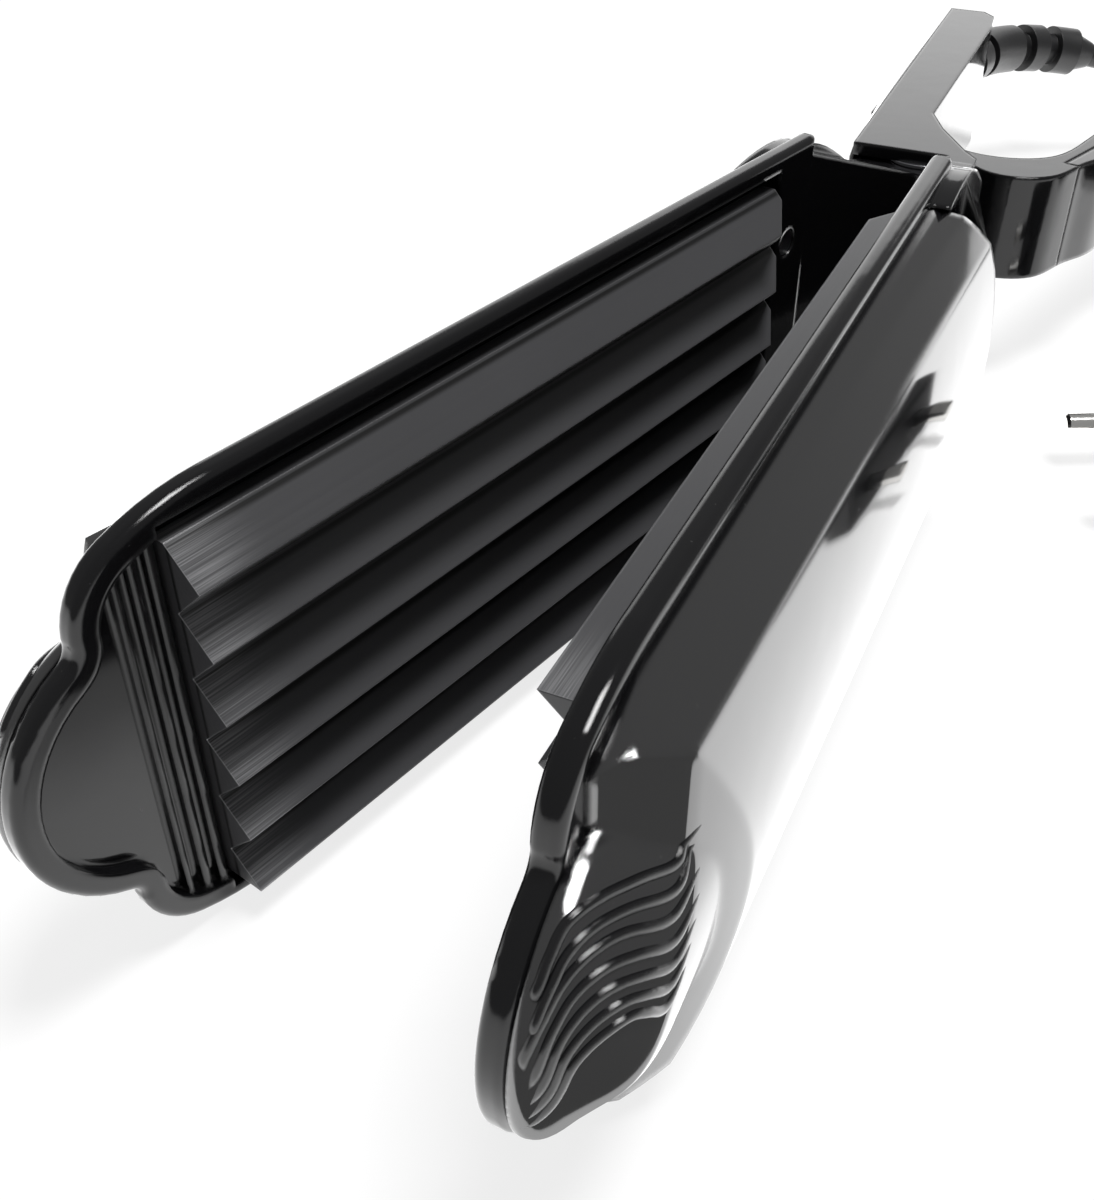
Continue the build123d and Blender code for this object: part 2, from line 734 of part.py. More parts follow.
def biarc(start, start_way, end, end_way):
    """Two tangent arcs from one point and direction to another."""
    chord = end - start
    a = 2 * (1 - start_way.dot(end_way))
    b = 2 * chord.dot(start_way + end_way)
    c = -chord.dot(chord)
    reach = (-b + sqrt(b * b - 4 * a * c)) / (2 * a)
    middle = (start + end + (start_way - end_way) * reach) * 0.5
    first = Edge.make_tangent_arc(start, start_way, middle)
    return [first, Edge.make_tangent_arc(middle, first % 1, end)]


def wound_path(place, turns, ways=None, lead_in=0.0):
    """Path on biarcs of about a quarter turn through place(turn), with straight ends where asked."""
    steps = ceil(turns * 4)
    knots = [turns * k / steps for k in range(steps + 1)]
    points = [Vector(*place(t)) for t in knots]
    slopes = [(Vector(*place(t + 0.001)) - Vector(*place(t - 0.001))).normalized() for t in knots]
    if ways:
        slopes[0], slopes[-1] = (Vector(*way).normalized() for way in ways)
    edges = []
    for k in range(steps):
        edges += biarc(points[k], slopes[k], points[k + 1], slopes[k + 1])
    if lead_in:
        edges.insert(0, Edge.make_line(points[0] - slopes[0] * lead_in, points[0]))
        edges.append(Edge.make_line(points[-1], points[-1] + slopes[-1] * lead_in))
    return Wire(edges)


def tube_along(path, radius):
    """Round tube swept along a path."""
    with BuildPart() as tube:
        with BuildLine():
            add(path)
        with BuildSketch(Plane(origin=path @ 0, z_dir=path % 0)):
            Circle(radius)
        sweep(path=path)
    return tube.part


def least_gap(path, turns, radius):
    """Least room between the loops of a wound tube, measured on points along its path."""
    count = ceil(turns * 72)
    points = [path @ (k / count) for k in range(count + 1)]
    skip = 36
    pairs = ((points[i], points[j]) for i in range(count + 1) for j in range(i + skip, count + 1))
    closest = min((a - b).length for a, b in pairs)
    return closest - 2 * radius


def spring_place(turn):
    """Point of the torsion spring after a number of turns."""
    angle = 2 * pi * turn
    rise = -barrel_half + 0.7 + spring_pitch * turn
    return spring_radius * cos(angle), spring_radius * sin(angle), rise


def switch_body():
    """Body and bezel of the rocker switch."""
    seat = seam_y(switch_x) - switch_recess
    with BuildPart() as body:
        add(block(switch_x - 8.8, switch_x + 8.8, seat - 1.2, seat, -6.3, 6.3))
        add(block(switch_x - 7.3, switch_x + 7.3, seat, seat + 6.8, -4.8, 4.8))
        add(block(switch_x - 5.8, switch_x + 5.8, seat - 2, seat + 3.3, -3.5, 3.5), mode=Mode.SUBTRACT)
        add(disc(1.0, -4.2, 4.2, switch_x, seat + 1.1), mode=Mode.SUBTRACT)
    return body.part


def switch_rocker():
    """Rocker at its off position, tilted by half its travel."""
    seat = seam_y(switch_x) - switch_recess
    tilt = radians(rocker_tilt / 2)
    outline = [(-5.2, -1.0), (-5.2, 2.8), (0, 1.9), (5.2, 2.8), (5.2, -1.0), (0, -1.7)]
    plan = []
    for a, b in outline:
        plan.append((switch_x + a * cos(tilt) + b * sin(tilt), seat + 1.1 - (b * cos(tilt) - a * sin(tilt))))
    with BuildPart() as rocker:
        add(column(plan, -3.2, 3.2))
        add(disc(0.9, -4.1, 4.1, switch_x, seat + 1.1))
    return rocker.part


def indicator_lens():
    """Clear rod in the handle cover, flanged inside and rounded at its outer end."""
    with BuildPart() as lens:
        add(rod(lens_x, -15.0, 0, 2.3, 1.0, (0, -1, 0)))
        add(rod(lens_x, -13.2, 0, lens_radius - 0.1, 5.4, (0, -1, 0)))
        fillet(lens.edges().group_by(Axis.Y)[0], 0.7)
    return lens.part


def lamp_board():
    """Small board with the lamp that lights the lens."""
    with BuildPart() as board:
        add(block(lens_x - 7, lens_x + 7, board_y, board_y + 1.2, -5, 5))
        add(rod(lens_x, board_y, 0, 1.5, 13.2 + board_y - 0.1, (0, -1, 0)))
        add(rod(lens_x, board_y, 0, 1.9, 1.0, (0, -1, 0)))
    return board.part


def cord_clamp():
    """Bar that holds the cord down on its saddle."""
    low = exit_y - cord_radius
    reach = clamp_screw_z + 2.2
    with BuildPart() as clamp:
        add(block(clamp_x - 2.5, clamp_x + 2.5, low - 1.5, low, exit_z - reach, exit_z + reach))
    return clamp.part


def clamp_screws():
    """Heads of the two screws of the cord clamp."""
    low = exit_y - cord_radius - 1.5
    with BuildPart() as screws:
        for z in (exit_z - clamp_screw_z, exit_z + clamp_screw_z):
            add(rod(clamp_x, low, z, 1.7, 0.6, (0, -1, 0)))
    return screws.part


def handle_screws():
    """Screws of the cord handle's cover."""
    with BuildPart() as screws:
        for x, top, seat in handle_screw_places:
            add(rod(x, seat, handle_screw_z, 2.1, 0.9, (0, -1, 0)))
            add(rod(x, seat, handle_screw_z, 0.9, 5.0, (0, 1, 0)))
    return screws.part


def cord_stub():
    """Sheathed end of the cord under the clamp."""
    with BuildPart() as stub:
        add(rod(-handle_end + handle_wall + 2.0, exit_y, exit_z, cord_radius, 14.0, (1, 0, 0)))
    return stub.part


def switch_leads():
    """Two leads that part at the cord's end, pass the lamp and reach the switch."""
    start = -handle_end + handle_wall + 16.0
    with BuildPart() as leads:
        for side in (1, -1):
            with BuildLine() as route:
                FilletPolyline((start, exit_y, 1.3 * side), (start + 3, exit_y, 1.3 * side),
                               (start + 6, exit_y, 3.4 * side), (switch_x - 7.3, exit_y, 3.4 * side),
                               radius=2)
            with BuildSketch(Plane(origin=route.line @ 0, z_dir=route.line % 0)):
                Circle(0.9)
            sweep(path=route.line)
    return leads.part


# Cord, its boot and its plug, laid out with the arms open

def turned(point, angle):
    """Plan point turned about the pivot by an angle in degrees."""
    x, y = point
    across_part, along_part = sin(radians(angle)), cos(radians(angle))
    return x * along_part - y * across_part, x * across_part + y * along_part


def strain_relief():
    """Boot of the cord: a neck in the handle's end wall, then a bent core with wide blocks and a taper."""
    with BuildPart() as boot:
        for radius, start, stop in boot_blocks:
            piece = boot_arc.trim(start / boot_arc.length, stop / boot_arc.length)
            with BuildSketch(Plane(origin=piece @ 0, z_dir=piece % 0)):
                Circle(radius)
            sweep(path=piece)
        last = boot_arc.trim(boot_blocks[-1][2] / boot_arc.length, 1)
        with BuildSketch(Plane(origin=last @ 0, z_dir=last % 0)):
            Circle(boot_ring_radius - 0.8)
        with BuildSketch(Plane(origin=last @ 1, z_dir=last % 1)):
            Circle(cord_radius + 0.25)
        loft()
        add(rod(*(boot_arc @ 0), boot_neck_radius, handle_wall + 2.0, tuple(boot_arc % 0 * -1)))
    return boot.part


def coil_place(turn):
    """Point of the coil after a number of turns: flat layers wound in and out, one above the other."""
    layer = min(int(turn / layer_turns), coil_layers - 1)
    along = turn - layer * layer_turns
    if layer % 2:
        radius = coil_outer - coil_pitch * (layer_turns - along)
    else:
        radius = coil_outer - coil_pitch * along
    climbed = 0
    for k in range(1, coil_layers):
        share = min(max((turn - k * layer_turns) / 0.5 + 0.5, 0), 1)
        climbed += coil_pitch * (1 - cos(pi * share)) / 2
    angle = pi - 2 * pi * turn
    return (coil_centre[0] + radius * cos(angle), coil_centre[1] + radius * sin(angle), cord_level + climbed)


def plug_plane(back, level):
    """Plane square to the plug's axis at a distance behind its face."""
    x, y = plug_face[0] - back * plug_way[0], plug_face[1] - back * plug_way[1]
    return Plane(origin=(x, y, level), x_dir=(plug_way[1], -plug_way[0], 0), z_dir=(*plug_way, 0))


def plug_pin_set(radius, back, front):
    """Two round rods on the axes of the plug's pins, between two distances in front of its face."""
    with BuildPart() as rods:
        with BuildSketch(plug_plane(-back, plug_level)):
            with Locations((plug_pin_spacing / 2, 0), (-plug_pin_spacing / 2, 0)):
                Circle(radius)
        extrude(amount=front - back)
    return rods.part


def plug_body():
    """Flat plug body with a tapered back and a ringed boot."""
    half, back_half = plug_width / 2, 8.0
    with BuildPart() as body:
        with BuildSketch(Plane(origin=(*plug_face, table_level), x_dir=(*plug_way, 0), z_dir=(0, 0, 1))):
            with BuildLine():
                Polyline((0, half - 1.5), (-1.5, half), (-14, half), (-plug_length, back_half),
                         (-plug_length, -back_half), (-14, -half), (-1.5, -half), (0, 1.5 - half),
                         close=True)
            make_face()
        extrude(amount=plug_thickness)
        fillet(body.edges().group_by(Axis.Z)[-1] + body.edges().group_by(Axis.Z)[0], 1.6)
        for radius, start, stop in (
                (4.2, plug_length - 2, plug_tail),
                (5.0, plug_length + 3, plug_length + 6),
                (5.0, plug_length + 9, plug_length + 12)):
            with BuildSketch(plug_plane(stop, plug_level)):
                Circle(radius)
            extrude(amount=stop - start)
        add(plug_pin_set(plug_sleeve_radius, -1.0, 1.0), mode=Mode.SUBTRACT)
        add(plug_pin_set(plug_root_radius, -8.0, 1.0), mode=Mode.SUBTRACT)
    return body.part


def plug_pins():
    """Round pins: full size at the tips, reduced under the sleeves and in the body."""
    with BuildPart() as pins:
        add(plug_pin_set(plug_pin_radius, plug_sleeve_length, plug_pin_length))
        tips = pins.edges().filter_by(GeomType.CIRCLE).group_by(Axis((0, 0, 0), (*plug_way, 0)))[-1]
        chamfer(tips, 0.5)
        add(plug_pin_set(plug_sleeve_bore, -1.0, plug_sleeve_length))
        add(plug_pin_set(plug_root_radius, -8.0, -1.0))
    return pins.part


def plug_sleeves():
    """Insulating sleeves between the plug's face and the bare ends of the pins."""
    with BuildPart() as sleeves:
        add(plug_pin_set(plug_sleeve_radius, -1.0, plug_sleeve_length))
        add(plug_pin_set(plug_sleeve_bore, -1.0, plug_sleeve_length), mode=Mode.SUBTRACT)
    return sleeves.part


half_angle = opening_angle / 2
cord_level = 0.05 + cord_radius - table_drop
table_level = 0.02 - table_drop
plug_level = table_level + plug_thickness / 2
exit_point = (*turned((-handle_end, exit_y), half_angle), exit_z)
exit_way = (*turned((-1, 0), half_angle), 0)
boot_arc = Edge.make_tangent_arc(exit_point, exit_way, boot_end)
plug_way = (cos(radians(plug_heading)), sin(radians(plug_heading)))
side_way = (-plug_way[1], plug_way[0])
plug_face = tuple(plug_tip[k] + side_way[k] * plug_pin_spacing / 2 - plug_way[k] * plug_pin_length
                  for k in (0, 1))
exit_turn = (pi - atan2(side_way[1], side_way[0])) / (2 * pi)
coil_turns = coil_loops + exit_turn
layer_turns = coil_turns / coil_layers
coil_exit = tuple(plug_face[k] - plug_way[k] * (plug_tail + tail_reach + 2 * cord_radius) for k in (0, 1))
coil_centre = tuple(coil_exit[k] - side_way[k] * coil_outer for k in (0, 1))
coil_path = wound_path(coil_place, coil_turns, ((0, 1, 0), (*plug_way, 0)), 2 * cord_radius)
coil_start, coil_stop = coil_path @ 0, coil_path @ 1


def rounded_route(name, points):
    """Straight runs with tangent arcs; prints the radii."""
    vectors = [Vector(*p) for p in points]
    radii = []
    for before, here, after in zip(vectors, vectors[1:], vectors[2:]):
        shorter = min((here - before).length, (after - here).length)
        turn = (here - before).get_angle(after - here)
        radii.append(0.45 * shorter / tan(radians(turn / 2)))
    print(name, "radii", [round(r, 1) for r in radii])
    with BuildLine() as route:
        FilletPolyline(*vectors, radius=radii)
    return route.wires()[0]


first_leg = Vector(*boot_end) + (boot_arc % 1) * 17
free_route = [boot_end, first_leg, *cord_points, coil_start - Vector(0, 20, 0), coil_start]
tail_points = [
    coil_stop,
    coil_stop + Vector(*plug_way, 0) * tail_straight,
    Vector(*(plug_face[k] - plug_way[k] * (plug_tail + tail_straight) for k in (0, 1)), plug_level),
    Vector(*(plug_face[k] - plug_way[k] * plug_tail for k in (0, 1)), plug_level),
]
free_path = rounded_route("cord", free_route)
tail_path = rounded_route("plug end", tail_points)


def twin(part):
    """The same piece for the other jaw."""
    return mirror(part, about=Plane(origin=(0, plate_plane, 0), z_dir=(0, 1, 0)))


cover, carrier, element, clip = jaw_cover(1), plate_carrier(1), heater(1), heater_clip(1)
screws, fuse, rim_screws, leads = plate_screws(1), thermal_fuse(1), cover_screws(1), jaw_leads(1)
spring = tube_along(wound_path(spring_place, spring_turns), spring_wire / 2)
coil = tube_along(coil_path, cord_radius)
print("coil gap", round(least_gap(coil_path, coil_turns, cord_radius), 2), "turns", round(coil_turns, 2))
swept = pi * cord_radius ** 2 * coil_path.length
print("coil volume", round(coil.volume), "section by length", round(swept))

cord_arm = {
    "cord_arm_frame": cord_arm_frame(),
    "cord_arm_jaw_cover": cover,
    "cord_arm_plate": heating_plate(1),
    "cord_arm_plate_carrier": carrier,
    "cord_arm_heater": element,
    "cord_arm_heater_clip": clip,
    "cord_arm_plate_screws": screws,
    "cord_arm_thermal_fuse": fuse,
    "cord_arm_rim_screws": rim_screws,
    "cord_arm_heater_leads": leads,
    "cord_arm_handle_cover": handle_cover(),
    "handle_screws": handle_screws(),
    "pivot_pin": pivot_pin(),
    "pivot_washers": pivot_washers(),
    "switch_body": switch_body(),
    "switch_rocker": switch_rocker(),
    "indicator_lens": indicator_lens(),
    "lamp_board": lamp_board(),
    "cord_clamp": cord_clamp(),
    "clamp_screws": clamp_screws(),
    "cord_stub": cord_stub(),
    "switch_leads": switch_leads(),
}
plain_arm = {
    "plain_arm_frame": plain_arm_frame(),
    "plain_arm_jaw_cover": jaw_cover(-1),
    "plain_arm_plate": heating_plate(-1),
    "plain_arm_plate_carrier": twin(carrier),
    "plain_arm_heater": twin(element),
    "plain_arm_heater_clip": twin(clip),
    "plain_arm_plate_screws": twin(screws),
    "plain_arm_thermal_fuse": twin(fuse),
    "plain_arm_rim_screws": twin(rim_screws),
    "plain_arm_heater_leads": twin(leads),
    "plain_arm_handle_cover": bar_cover(),
    "handle_spring": spring,
}
cord_set = {
    "strain_relief": strain_relief(),
    "power_cord": tube_along(free_path, cord_radius),
    "cord_coil": coil,
    "plug_cord": tube_along(tail_path, cord_radius),
    "plug_body": plug_body(),
    "plug_pins": plug_pins(),
    "plug_sleeves": plug_sleeves(),
}

# Open the arms, then set the tool on the table with its middle at the origin
tool = {name: part.rotate(Axis.Z, half_angle) for name, part in cord_arm.items()}
tool.update({name: part.rotate(Axis.Z, -half_angle) for name, part in plain_arm.items()})
boxes = [part.bounding_box() for part in tool.values()]
low = Vector(*(min(getattr(box.min, axis) for box in boxes) for axis in "XYZ"))
high = Vector(*(max(getattr(box.max, axis) for box in boxes) for axis in "XYZ"))
shift = Vector(-(low.X + high.X) / 2, -(low.Y + high.Y) / 2, -low.Z)
print("shift", [round(v, 4) for v in shift], "size", [round(v, 2) for v in high - low])
for name, part in {**tool, **cord_set}.items():
    placed = part.moved(Location(shift))
    placed.label = name
    export_step(placed, f"parts/{name}.step")
    print(name, round(part.volume), part.is_valid, len(part.solids()))
length = free_path.length + coil_path.length + tail_path.length
print("cord length", round(length), "pivot", [round(v, 3) for v in shift])
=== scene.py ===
import json
from math import ceil, cos, pi, radians, sin

import bpy
from mathutils import Matrix, Vector
from mathutils.bvhtree import BVHTree


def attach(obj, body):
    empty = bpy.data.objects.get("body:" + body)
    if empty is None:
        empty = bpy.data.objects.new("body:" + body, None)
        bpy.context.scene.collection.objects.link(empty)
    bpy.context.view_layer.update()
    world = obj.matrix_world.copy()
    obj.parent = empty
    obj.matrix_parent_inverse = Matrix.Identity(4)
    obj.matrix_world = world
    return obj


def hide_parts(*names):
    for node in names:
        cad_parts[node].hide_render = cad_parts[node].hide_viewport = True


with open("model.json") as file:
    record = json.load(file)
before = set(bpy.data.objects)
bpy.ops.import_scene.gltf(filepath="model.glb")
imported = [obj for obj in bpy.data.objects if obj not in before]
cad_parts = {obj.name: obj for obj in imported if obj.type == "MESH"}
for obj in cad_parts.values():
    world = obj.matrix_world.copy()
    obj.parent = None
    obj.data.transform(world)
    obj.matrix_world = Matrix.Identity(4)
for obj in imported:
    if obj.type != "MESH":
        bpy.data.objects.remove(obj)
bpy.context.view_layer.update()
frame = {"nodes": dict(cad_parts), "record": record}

# Everything is laid out in millimetres about the pivot, as the part is, and moved to the row frame
pivotShift = Vector((-55.7319, -7.4454, 28.8))
halfAngle = 6.92
platePlane = 7.5


def place(x, y, z):  # metres in the row frame, from millimetres about the pivot
    return (Vector((x, y, z)) + pivotShift) / 1000


def jawWay(side):  # direction from hub to nose, side 1 on the cord arm and -1 on the plain arm
    angle = radians(halfAngle * side)
    return Vector((cos(angle), sin(angle), 0))


def backWay(side):  # direction from the plates to the back of a jaw
    along = jawWay(side)
    return Vector((-along.y, along.x, 0)) * side


def onArm(side, x, depth, z):  # along the jaw, behind the plate plane and up, as on the closed tool
    offset = jawWay(side) * x + backWay(side) * (side * platePlane + depth)
    return place(offset.x, offset.y, z)


# Camera, from the fit to the photograph

cameraSettings = {
    "centre": (244.2634, 74.1145, 102.9754),
    "right": (-0.532172, 0.846591, -0.008726),
    "down": (0.529584, 0.324823, -0.783601),
    "ahead": (-0.660556, -0.421632, -0.621203),
    "focalPixels": 1383.66,
    "heightPixels": 1200,
    "sensor": 36.0,
}


def makeCamera(settings):
    data = bpy.data.cameras.new("camera")
    camera = bpy.data.objects.new("camera", data)
    bpy.context.scene.collection.objects.link(camera)
    right, down, ahead = (Vector(settings[key]).normalized() for key in ("right", "down", "ahead"))
    columns = (right, -down, -ahead)
    turn = Matrix([[column[row] for column in columns] for row in range(3)]).to_4x4()
    camera.matrix_world = Matrix.Translation(place(*settings["centre"])) @ turn
    data.sensor_fit = "VERTICAL"
    data.sensor_height = settings["sensor"]
    data.lens = settings["focalPixels"] / settings["heightPixels"] * settings["sensor"]
    data.clip_start = 0.01
    data.clip_end = 30
    bpy.context.scene.camera = camera


makeCamera(cameraSettings)
bpy.context.scene.view_settings.view_transform = "Standard"
print("camera placed")


# Cord: one line from the boot, round the coil and into the plug

coilSettings = {
    "outer": 36.5,
    "pitch": 5.85,
    "layers": 4,
    "loops": 8,
    "perTurn": 16,
    "climbTurns": 0.5,
    "level": -25.75,
}
cordSettings = {
    "radius": 2.65,
    "bootEnd": (-124.6, -0.8, -5.2),
    "points": (
        (-133.82, 13.1, -8.48),
        (-141.0, 36.0, -18.0),
        (-135.0, 61.0, -24.6),
        (-120.0, 83.5, -26.1),
    ),
    "entryReach": 20,
    "plugTip": (24.0, 39.3),
    "plugHeading": -56.0,
    "pinSpacing": 19.0,
    "pinLength": 19.0,
    "plugTail": 52.0,
    "tailReach": 60.0,
    "tailStraight": 21.0,
    "plugLevel": -21.93,
}


def flat(first, second, share):
    return (first[0] + second[0] * share, first[1] + second[1] * share)


def plugFrame(settings):  # direction of the pins, across them and the middle of the plug's face
    heading = radians(settings["plugHeading"])
    way, side = (cos(heading), sin(heading)), (-sin(heading), cos(heading))
    tips = flat(settings["plugTip"], side, settings["pinSpacing"] / 2)
    return way, side, flat(tips, way, -settings["pinLength"])


def coilFrame(settings, coil):  # centre of the coil and its number of turns
    way, side, face = plugFrame(settings)
    exitTurn = (pi - (radians(settings["plugHeading"]) + pi / 2)) / (2 * pi)
    back = settings["plugTail"] + settings["tailReach"] + 2 * settings["radius"]
    return flat(flat(face, way, -back), side, -coil["outer"]), coil["loops"] + exitTurn


def coilPoint(turn, turns, centre, coil):  # flat layers wound in and out, one above the other
    layerTurns = turns / coil["layers"]
    layer = min(int(turn / layerTurns), coil["layers"] - 1)
    along = turn - layer * layerTurns
    inward = layerTurns - along if layer % 2 else along
    radius = (coil["outer"] - coil["pitch"] * inward) / cos(pi / coil["perTurn"])
    climbed = 0
    for k in range(1, coil["layers"]):
        share = min(max((turn - k * layerTurns) / coil["climbTurns"] + 0.5, 0), 1)
        climbed += coil["pitch"] * (1 - cos(pi * share)) / 2
    angle = pi - 2 * pi * turn
    return (*flat(centre, (cos(angle), sin(angle)), radius), coil["level"] + climbed)


def cordRoute(settings, coil):
    way, _, face = plugFrame(settings)
    centre, turns = coilFrame(settings, coil)
    start = centre[1] - 2 * settings["radius"]
    route = [settings["bootEnd"], *settings["points"]]
    for y in (start - settings["entryReach"], start):
        route.append((centre[0] - coil["outer"], y, coil["level"]))
    count = ceil(turns * coil["perTurn"])
    route += [coilPoint((k + 0.5) * turns / count, turns, centre, coil) for k in range(count)]
    top = coil["level"] + coil["pitch"] * (coil["layers"] - 1)
    tail, straight = settings["plugTail"], settings["tailStraight"]
    back = tail + settings["tailReach"]
    for reach, z in ((back, top), (back - straight, top)):
        route.append((*flat(face, way, -reach), z))
    for reach in (tail + straight, tail):
        route.append((*flat(face, way, -reach), settings["plugLevel"]))
    return route


def makeCurve(name, route, radius, order, widths=None):
    curve = bpy.data.curves.new(name, "CURVE")
    curve.dimensions = "3D"
    spline = curve.splines.new("NURBS")
    spline.points.add(len(route) - 1)
    for k, spot in enumerate(route):
        spline.points[k].co = (*spot, 1)
        spline.points[k].radius = radius / 1000 * (widths[k] if widths else 1)
    spline.order_u = order
    spline.use_endpoint_u = True
    spline.resolution_u = 6
    curve.bevel_depth = 1  # the points carry the radius, which keeps the measured bounds true
    curve.bevel_resolution = 6
    curve.use_fill_caps = True
    piece = bpy.data.objects.new(name, curve)
    bpy.context.scene.collection.objects.link(piece)
    return piece


def makeCord(settings, coil):
    route = [place(*spot) for spot in cordRoute(settings, coil)]
    cord = makeCurve("cord", route, settings["radius"], 3)
    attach(cord, "cord_arm")
    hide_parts("power_cord", "cord_coil", "plug_cord")
    return cord


cord = makeCord(cordSettings, coilSettings)
print("cord laid")

# Tie: a flat strip round the bundle of turns, its ends twisted together on top

tieSettings = {
    "angle": 205.0,
    "width": 4.0,
    "thickness": 0.3,
    "inner": 21.2,
    "outer": 39.5,
    "bottom": -28.62,
    "top": -5.2,
    "corner": 5.0,
    "cornerSteps": 10,
    "tailOffset": 2,
    "tailRise": 0.9,
    "tailLean": 0.12,
    "tailLength": 13.0,
    "tailTurns": 1.5,
    "tailSteps": 28,
    "tailShares": (0.7, 2),  # width and thickness of the tail against the strip
}


def makeStrip(name, spots, outwards, acrosses, width, thickness, closed):
    corners = []
    for spot, outward, across in zip(spots, outwards, acrosses):
        for a, b in ((-1, -1), (1, -1), (1, 1), (-1, 1)):
            corner = spot + across * (a * width / 2000) + outward * (b * thickness / 2000)
            corners.append(corner[:])
    faces = []
    count = len(spots)
    for k in range(count if closed else count - 1):
        for m in range(4):
            n, after = (m + 1) % 4, (k + 1) % count
            faces.append((4 * k + m, 4 * k + n, 4 * after + n, 4 * after + m))
    if not closed:
        faces += [(0, 3, 2, 1), tuple(4 * (count - 1) + m for m in range(4))]
    mesh = bpy.data.meshes.new(name)
    mesh.from_pydata(corners, [], faces)
    mesh.validate()
    piece = bpy.data.objects.new(name, mesh)
    bpy.context.scene.collection.objects.link(piece)
    return piece


def makeTie(settings, cordData, coil):
    centre, _ = coilFrame(cordData, coil)
    angle = radians(settings["angle"])
    radial, across = Vector((cos(angle), sin(angle), 0)), Vector((-sin(angle), cos(angle), 0))
    up = Vector((0, 0, 1))
    inner, outer, bottom, top = (settings[key] for key in ("inner", "outer", "bottom", "top"))
    width, thickness, corner = (settings[key] for key in ("width", "thickness", "corner"))
    middle = ((inner + outer) / 2, (bottom + top) / 2)
    reach = ((outer - inner) / 2, (top - bottom) / 2)
    spots, outwards = [], []
    steps = settings["cornerSteps"]
    for quarter, signs in enumerate(((1, 1), (-1, 1), (-1, -1), (1, -1))):
        for k in range(steps + 1):
            bend = pi / 2 * (quarter + k / steps)
            out = (cos(bend), sin(bend))
            r, z = (middle[m] + signs[m] * (reach[m] - corner) + corner * out[m] for m in (0, 1))
            spots.append(place(*(Vector((*centre, z)) + radial * r)))
            outwards.append(radial * out[0] + up * out[1])
    loop = makeStrip("coilTie", spots, outwards, [across] * len(spots), width, thickness, True)
    start = place(*(Vector((*centre, top)) + radial * (middle[0] + settings["tailOffset"])))
    lean = (radial + up * settings["tailLean"]).normalized()
    tail = []  # spot, outward and across direction at each step
    for k in range(settings["tailSteps"] + 1):
        share = k / settings["tailSteps"]
        spin = 2 * pi * settings["tailTurns"] * share
        rise = up * cos(spin) + across * sin(spin)
        spot = start + lean * (settings["tailLength"] * share / 1000)
        tail.append((spot + up * (settings["tailRise"] / 1000), rise, lean.cross(rise)))
    wide, thick = settings["tailShares"]
    ends = makeStrip("coilTieEnds", *zip(*tail), width * wide, thickness * thick, False)
    for piece in (loop, ends):
        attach(piece, "cord_arm")
    return [loop, ends]


ties = makeTie(tieSettings, cordSettings, coilSettings)
print("tie made")

# Shader building


class Signal:  # a shader value that can stand in sums
    def __init__(self, graph, socket):
        self.graph = graph
        self.socket = socket

    def combined(self, operation, *inputs):
        return self.graph.add("ShaderNodeMath", {"operation": operation}, dict(enumerate(inputs)))

    def __add__(self, other):
        return self.combined("ADD", self, other)

    def __radd__(self, other):
        return self.combined("ADD", other, self)

    def __sub__(self, other):
        return self.combined("SUBTRACT", self, other)

    def __rsub__(self, other):
        return self.combined("SUBTRACT", other, self)

    def __mul__(self, other):
        return self.combined("MULTIPLY", self, other)

    def __rmul__(self, other):
        return self.combined("MULTIPLY", other, self)

    def __truediv__(self, other):
        return self.combined("DIVIDE", self, other)

    def __rtruediv__(self, other):
        return self.combined("DIVIDE", other, self)

    def __pow__(self, other):
        return self.combined("POWER", self, other)

    def __rpow__(self, other):
        return self.combined("POWER", other, self)

    def __neg__(self):
        return self.combined("MULTIPLY", self, -1)

    def __abs__(self):
        return self.combined("ABSOLUTE", self)

    def above(self, edge, width):  # 0 below the edge and 1 above it, with a soft step this wide
        inputs = {"Value": self, "From Min": edge - width / 2, "From Max": edge + width / 2}
        return self.graph.add("ShaderNodeMapRange", {"interpolation_type": "SMOOTHSTEP"}, inputs)

    def dot(self, other):
        inputs = {0: self, 1: other}
        return self.graph.add("ShaderNodeVectorMath", {"operation": "DOT_PRODUCT"}, inputs, "Value")


class Graph:  # node tree of one material
    def __init__(self, name):
        self.material = bpy.data.materials.new(name)
        self.material.use_nodes = True
        self.tree = self.material.node_tree
        self.tree.nodes.clear()

    def add(self, kind, settings=None, inputs=None, output=0):
        node = self.tree.nodes.new(kind)
        for key, value in (settings or {}).items():
            setattr(node, key, value)
        for key, value in (inputs or {}).items():
            socket = node.inputs[key]
            if isinstance(value, Signal):
                self.tree.links.new(value.socket, socket)
            else:
                socket.default_value = value
        return Signal(self, node.outputs[output])

    def noise(self, scale, detail=2.0, roughness=0.5, point=None):
        point = point or self.add("ShaderNodeTexCoord", output="Object")
        inputs = {"Vector": point, "Scale": scale, "Detail": detail, "Roughness": roughness}
        return self.add("ShaderNodeTexNoise", inputs=inputs)

    def blendColour(self, factor, first, second):
        inputs = {"Factor": factor, 6: first, 7: second}
        return self.add("ShaderNodeMix", {"data_type": "RGBA"}, inputs, 2)

    def bump(self, height, strength, distance, normal):
        inputs = {"Height": height, "Strength": strength, "Distance": distance, "Normal": normal}
        return self.add("ShaderNodeBump", inputs=inputs)

    def roundedEdges(self, radius):  # radius in millimetres
        return self.add("ShaderNodeBevel", {"samples": 8}, {"Radius": radius / 1000})

    def surface(self, shader):
        output = self.tree.nodes.new("ShaderNodeOutputMaterial")
        self.tree.links.new(shader.socket, output.inputs["Surface"])
        return self.material

    def principled(self, inputs):
        return self.surface(self.add("ShaderNodeBsdfPrincipled", inputs=inputs))


# Finishes


